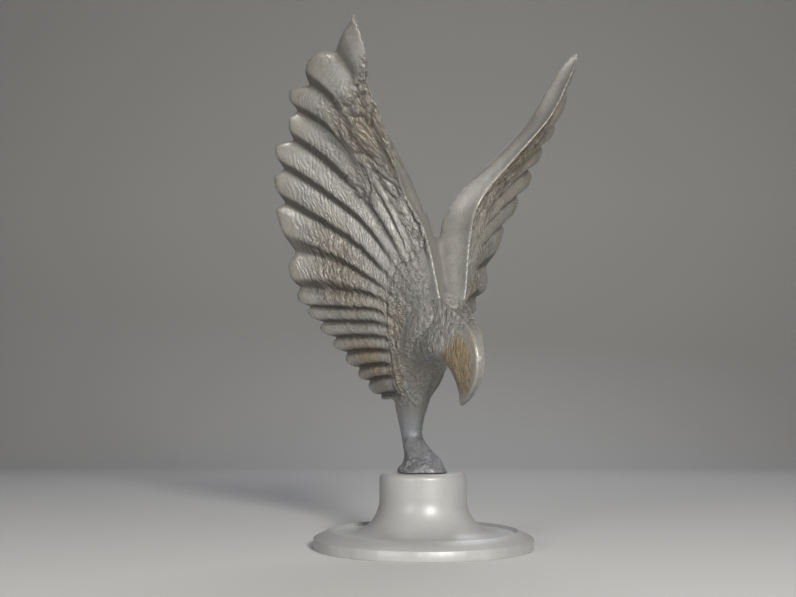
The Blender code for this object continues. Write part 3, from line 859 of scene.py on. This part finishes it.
def turned_mesh(name, outline):
    around = RIM_FACETS * STEPS_PER_FACET
    angle = 2 * np.pi * (np.arange(around) / around + 0.5 / RIM_FACETS)
    within = (np.arange(around) % STEPS_PER_FACET) / STEPS_PER_FACET - 0.5
    half = math.pi / RIM_FACETS
    turned = np.where(within == -0.5, -half, np.arctan(2 * within * math.tan(half)))
    polygon = math.cos(half) / np.cos(turned)
    flat_angle = 2 * np.pi * (np.floor(np.arange(around) / STEPS_PER_FACET) + 1.0) / RIM_FACETS
    flat_angle = flat_angle + turned
    corner_in = FACET_UNEVENNESS * np.random.default_rng(7).random(RIM_FACETS + 1)
    corner_in[-1] = corner_in[0]
    uneven = np.interp(np.arange(around) / STEPS_PER_FACET, np.arange(RIM_FACETS + 1), corner_in)
    spots = []
    for radius, height, faceted in outline:
        turn = flat_angle if faceted else angle
        out = radius * polygon - uneven if faceted else np.full(around, radius)
        spots.append(np.stack([out * np.cos(turn), out * np.sin(turn), np.full(around, height)], axis=1))
    spots = np.concatenate(spots)
    rings = len(outline)
    shapes = grid_faces(rings, around, 0)
    shapes += [list(range(around))[::-1], list(range((rings - 1) * around, rings * around))]
    mesh = mesh_of(name, spots.tolist(), shapes)
    faceted_rings = sum(1 for _, _, flag in outline if flag) - 1
    for polygon_face in mesh.polygons[:faceted_rings * around]:
        polygon_face.use_smooth = False
    mesh.set_sharp_from_angle(angle=SHARP_ANGLE)
    return mesh


plinth = put("plinth_turned", turned_mesh("plinth_turned", plinth_profile()))
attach(plinth, "root")
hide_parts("plinth")
print("plinth has", sum(len(p.vertices) - 2 for p in plinth.data.polygons), "triangles")

# %% [markdown]
# ## Materials
#
# Both surfaces are described by what they are made of. One helper adds a node with
# its settings and links, and one function turns a given colour into the
# linear values that light adds up in.

# %% Material helpers
def linear(hex_colour):
    """An sRGB hex colour as linear red, green, blue and alpha."""
    parts = [int(hex_colour[i:i + 2], 16) / 255 for i in (1, 3, 5)]
    return (*[c / 12.92 if c <= 0.04045 else ((c + 0.055) / 1.055) ** 2.4 for c in parts], 1.0)


def new_material(name):
    made = bpy.data.materials.new(name)
    made.use_nodes = True
    return made, made.node_tree, made.node_tree.nodes["Principled BSDF"]


def fill(tree, node, **inputs):
    """Values or other nodes' outputs for a node's inputs, by name, or by number after an n."""
    for key, value in inputs.items():
        numbered = key[0] == "n" and key[1:].isdigit()
        socket = node.inputs[int(key[1:]) if numbered else key.replace("_", " ")]
        if isinstance(value, bpy.types.NodeSocket):
            tree.links.new(value, socket)
        else:
            socket.default_value = value


def add(tree, kind, settings=None, **inputs):
    """A node with its settings and inputs."""
    node = tree.nodes.new("ShaderNode" + kind)
    for key, value in (settings or {}).items():
        setattr(node, key, value)
    fill(tree, node, **inputs)
    return node


def speckle(tree, spots, per_metre, detail, roughness, distortion=0.0):
    """Noise with the given number of bumps to the metre."""
    return add(tree, "TexNoise", Vector=spots, Scale=per_metre, Detail=detail,
               Roughness=roughness, Distortion=distortion).outputs["Fac"]


def mix_colour(tree, factor, first, second):
    node = add(tree, "Mix", {"data_type": "RGBA"}, n0=factor, n6=first, n7=second)
    return node.outputs[2]


def span(tree, value, low, high, to_low=0.0, to_high=1.0):
    """A value mapped from one range to another and held at its ends."""
    return add(tree, "MapRange", Value=value, From_Min=low, From_Max=high,
               To_Min=to_low, To_Max=to_high).outputs[0]


def math_node(tree, operation, first, second=0.0):
    return add(tree, "Math", {"operation": operation}, n0=first, n1=second).outputs[0]


def tinted(tree, base, layers):
    """The base with colours laid over it, each by a value, its range and a strength."""
    for value, low, high, strength, colour in layers:
        base = mix_colour(tree, span(tree, value, low, high, 0.0, strength), base, linear(colour))
    return base


def bumps(tree, layers):
    """Bumps laid over each other, each with its height, strength and depth."""
    under = {}
    for value, strength, depth in layers:
        node = add(tree, "Bump", Height=value, Strength=strength, Distance=depth, **under)
        under = {"Normal": node.outputs[0]}
    return node.outputs[0]


print("helpers ready; mid grey is", np.round(linear("#8a8680")[:3], 3))

# %% [markdown]
# ## Patinated casting
#
# Cast metal darkens in its hollows, where dust and old wax stay, and brightens where
# hands rub it. On top of that, shade is painted darker in the feathers' drops, behind
# the leading ridge and across the leading band, and a highlight is painted lighter
# along the middle of each feather. The patina is a warm grey with brown and ochre
# blooms. It is a thin mineral crust and not bare metal, so most of it shines like
# stone, and only rubbed edges show a little metal. The ripples and wrinkles too fine
# for the mesh are bumps.

# %% Patinated cast metal
WRINKLES_PER_METRE, WRINKLE_VALLEY = 330.0, 0.11
GRIME_AND_SHADE = "#38332d"
cast, tree, shader = new_material("patinated_cast_metal")
coord = add(tree, "TexCoord").outputs["Object"]
guide = {name: add(tree, "Attribute", {"attribute_name": name}).outputs["Fac"]
         for name in ("hollow", "warm", "cool", "wear_and_highlight", "barbed", "wrinkled", "barb_turn")}
sheet_place = add(tree, "Attribute", {"attribute_name": "sheet"}).outputs["Vector"]
cloud = speckle(tree, coord, 75.0, 5.0, 0.6)
speck = speckle(tree, coord, 900.0, 3.0, 0.55)
grain = speckle(tree, coord, 2600.0, 2.0, 0.5)
barb_wave = math_node(tree, "SINE", math_node(tree, "MULTIPLY", guide["barb_turn"], 2 * math.pi))
barb_wave = math_node(tree, "MULTIPLY", span(tree, barb_wave, -1.0, 1.0), guide["barbed"])
valley = speckle(tree, sheet_place, WRINKLES_PER_METRE, 3.0, 0.55, 0.6)
valley = math_node(tree, "ABSOLUTE", math_node(tree, "SUBTRACT", valley, 0.5))
wrinkle = math_node(tree, "MULTIPLY", span(tree, valley, 0.0, WRINKLE_VALLEY), guide["wrinkled"])
crease_dark = math_node(tree, "SUBTRACT", guide["wrinkled"], wrinkle)
bloom = math_node(tree, "MULTIPLY", guide["warm"], span(tree, cloud, 0.3, 0.7, 0.35, 0.85))
base = mix_colour(tree, span(tree, cloud, 0.35, 0.65), linear("#8b8a86"), linear("#9a9893"))
# One dark colour serves both the patina in hollows and the painted shade. The rubbed value lightens worn tips
# and ridges and also paints a highlight along each feather's middle.
base = tinted(tree, base, ((bloom, 0.05, 0.75, 1.0, "#8a7a60"), (bloom, 0.75, 1.35, 1.0, "#7d6742"),
                           (guide["cool"], 0.0, 1.0, 0.85, "#8a8d93"),
                           (guide["hollow"], 0.05, 0.85, 0.72, GRIME_AND_SHADE),
                           (crease_dark, 0.1, 1.0, 0.34, GRIME_AND_SHADE),
                           (guide["wear_and_highlight"], 0.1, 1.0, 0.5, "#a8a399"),
                           (speck, 0.40, 0.62, 0.16, "#4c463f")))
roughness = math_node(tree, "SUBTRACT", span(tree, cloud, 0.3, 0.7, 0.34, 0.44),
                      span(tree, guide["wear_and_highlight"], 0.0, 1.0, 0.0, 0.12))
roughness = math_node(tree, "ADD", roughness, span(tree, guide["hollow"], 0.0, 1.0, 0.0, 0.16))
metallic = span(tree, guide["wear_and_highlight"], 0.0, 1.0, 0.12, 0.45)
relief = bumps(tree, ((grain, 0.22, 0.12 * MM), (speck, 0.35, 0.30 * MM),
                      (wrinkle, 0.8, 0.45 * MM), (barb_wave, 0.7, 0.26 * MM)))
fill(tree, shader, Base_Color=base, Roughness=roughness, Metallic=metallic, Normal=relief)
eagle.data.materials.append(cast)
print("eagle wears", cast.name)

# %% [markdown]
# ## Honed stone
#
# The plinth is a pale grey stone, honed and then waxed. It has soft clouds and a
# fine grain, and the wax gives broad, soft reflections.

# %% Honed pale stone
stone, tree, shader = new_material("honed_pale_stone")
coord = add(tree, "TexCoord").outputs["Object"]
cloud = speckle(tree, coord, 38.0, 6.0, 0.62)
grain = speckle(tree, coord, 1500.0, 3.0, 0.6)
base = mix_colour(tree, span(tree, cloud, 0.35, 0.68), linear("#a0a09f"), linear("#aaaaa9"))
fill(tree, shader, Base_Color=tinted(tree, base, ((grain, 0.42, 0.66, 0.18, "#8f8d8a"),)),
     Roughness=span(tree, cloud, 0.3, 0.7, 0.42, 0.50), Coat_Weight=0.8, Coat_Roughness=0.36,
     Normal=bumps(tree, ((grain, 0.12, 0.10 * MM),)))
plinth.data.materials.append(stone)
print("plinth wears", stone.name)

# %% [markdown]
# ## Studio
#
# A pale sweep of paper rises behind the figurine, so there is no horizon line. Three
# soft lights stand where a photographer would put them: a small key low in front, a
# larger one on the left, and a cooler one behind to draw the edges. The tones are
# shown as they are, with no film curve, so that the patina keeps its contrast.

# %% Floor sweep, lights and world
SWEEP_BACK, SWEEP_FRONT, SWEEP_HEIGHT, SWEEP_HALF, SWEEP_ROUND = 1.3, -3.0, 1.6, 3.0, 0.5
VIEW_AZIMUTH = math.radians(-23.5)
FIGURE_MIDDLE = Vector((0.0, 0.0, 0.11))
WORLD_STRENGTH = 0.09


def sweep_mesh():
    profile = [(SWEEP_FRONT, 0.0)]
    for turn in np.linspace(0.0, math.pi / 2, 24):
        profile.append((SWEEP_BACK - SWEEP_ROUND + SWEEP_ROUND * math.sin(turn),
                        SWEEP_ROUND * (1 - math.cos(turn))))
    profile.append((SWEEP_BACK, SWEEP_HEIGHT))
    spots = [(x, y, z) for y, z in profile for x in (-SWEEP_HALF, SWEEP_HALF)]
    shapes = [(2 * i, 2 * i + 1, 2 * i + 3, 2 * i + 2) for i in range(len(profile) - 1)]
    return mesh_of("paper_sweep", spots, shapes)


sweep = put("paper_sweep", sweep_mesh())
sweep.rotation_euler.z = VIEW_AZIMUTH
paper, tree, shader = new_material("matt_paper")
fibre = speckle(tree, add(tree, "TexCoord").outputs["Object"], 900.0, 3.0, 0.5)
fill(tree, shader, Base_Color=mix_colour(tree, fibre, linear("#cccbc9"), linear("#d2d1cf")), Roughness=0.9)
sweep.data.materials.append(paper)

world = bpy.data.worlds.new("studio")
bpy.context.scene.world = world
world.use_nodes = True
background = world.node_tree.nodes["Background"]
background.inputs["Color"].default_value = linear("#dcdde0")
background.inputs["Strength"].default_value = WORLD_STRENGTH
bpy.context.scene.view_settings.view_transform = "Standard"


def soft_light(name, azimuth, elevation, distance, size, watts, colour):
    lamp = bpy.data.lights.new(name, "AREA")
    lamp.shape = "DISK"
    lamp.size = size
    lamp.energy = watts
    lamp.color = linear(colour)[:3]
    turn, rise = math.radians(azimuth), math.radians(elevation)
    level = math.cos(rise)
    spot = Vector((math.sin(turn) * level, -math.cos(turn) * level, math.sin(rise))) * distance
    made = put(name, lamp)
    made.location = FIGURE_MIDDLE + spot
    made.rotation_euler = spot.to_track_quat("Z", "Y").to_euler()


soft_light("key_light", -4.0, 17.0, 0.95, 0.20, 9.6, "#fffdf8")
soft_light("side_light", -58.0, 12.0, 0.95, 0.35, 2.4, "#ffffff")
soft_light("rim_light", 150.0, 40.0, 1.0, 0.50, 2.2, "#f2f5ff")

# %% [markdown]
# ## Camera
#
# The camera stands low and looks slightly up, a little to the bird's right, at arm's
# length. Its place was worked out from how round the plinth's edges look.

# %% Camera at the picture's viewpoint
CAMERA_PLACE = (-0.1677, -0.3857, 0.0535)
CAMERA_RISE = math.radians(8.159)
CAMERA_TURN = math.radians(-23.5 + 1.56)
FOCAL_PIXELS, PICTURE_WIDTH, SENSOR = 900.0, 796.0, 36.0
lens = bpy.data.cameras.new("camera")
lens.sensor_width = SENSOR
lens.lens = FOCAL_PIXELS / PICTURE_WIDTH * SENSOR
lens.clip_start = 0.01
camera = put("camera", lens)
camera.location = CAMERA_PLACE
camera.rotation_euler = (math.pi / 2 + CAMERA_RISE, 0.0, CAMERA_TURN)
bpy.context.scene.camera = camera
print("camera", [round(v, 3) for v in camera.location], "lens", round(lens.lens, 1))
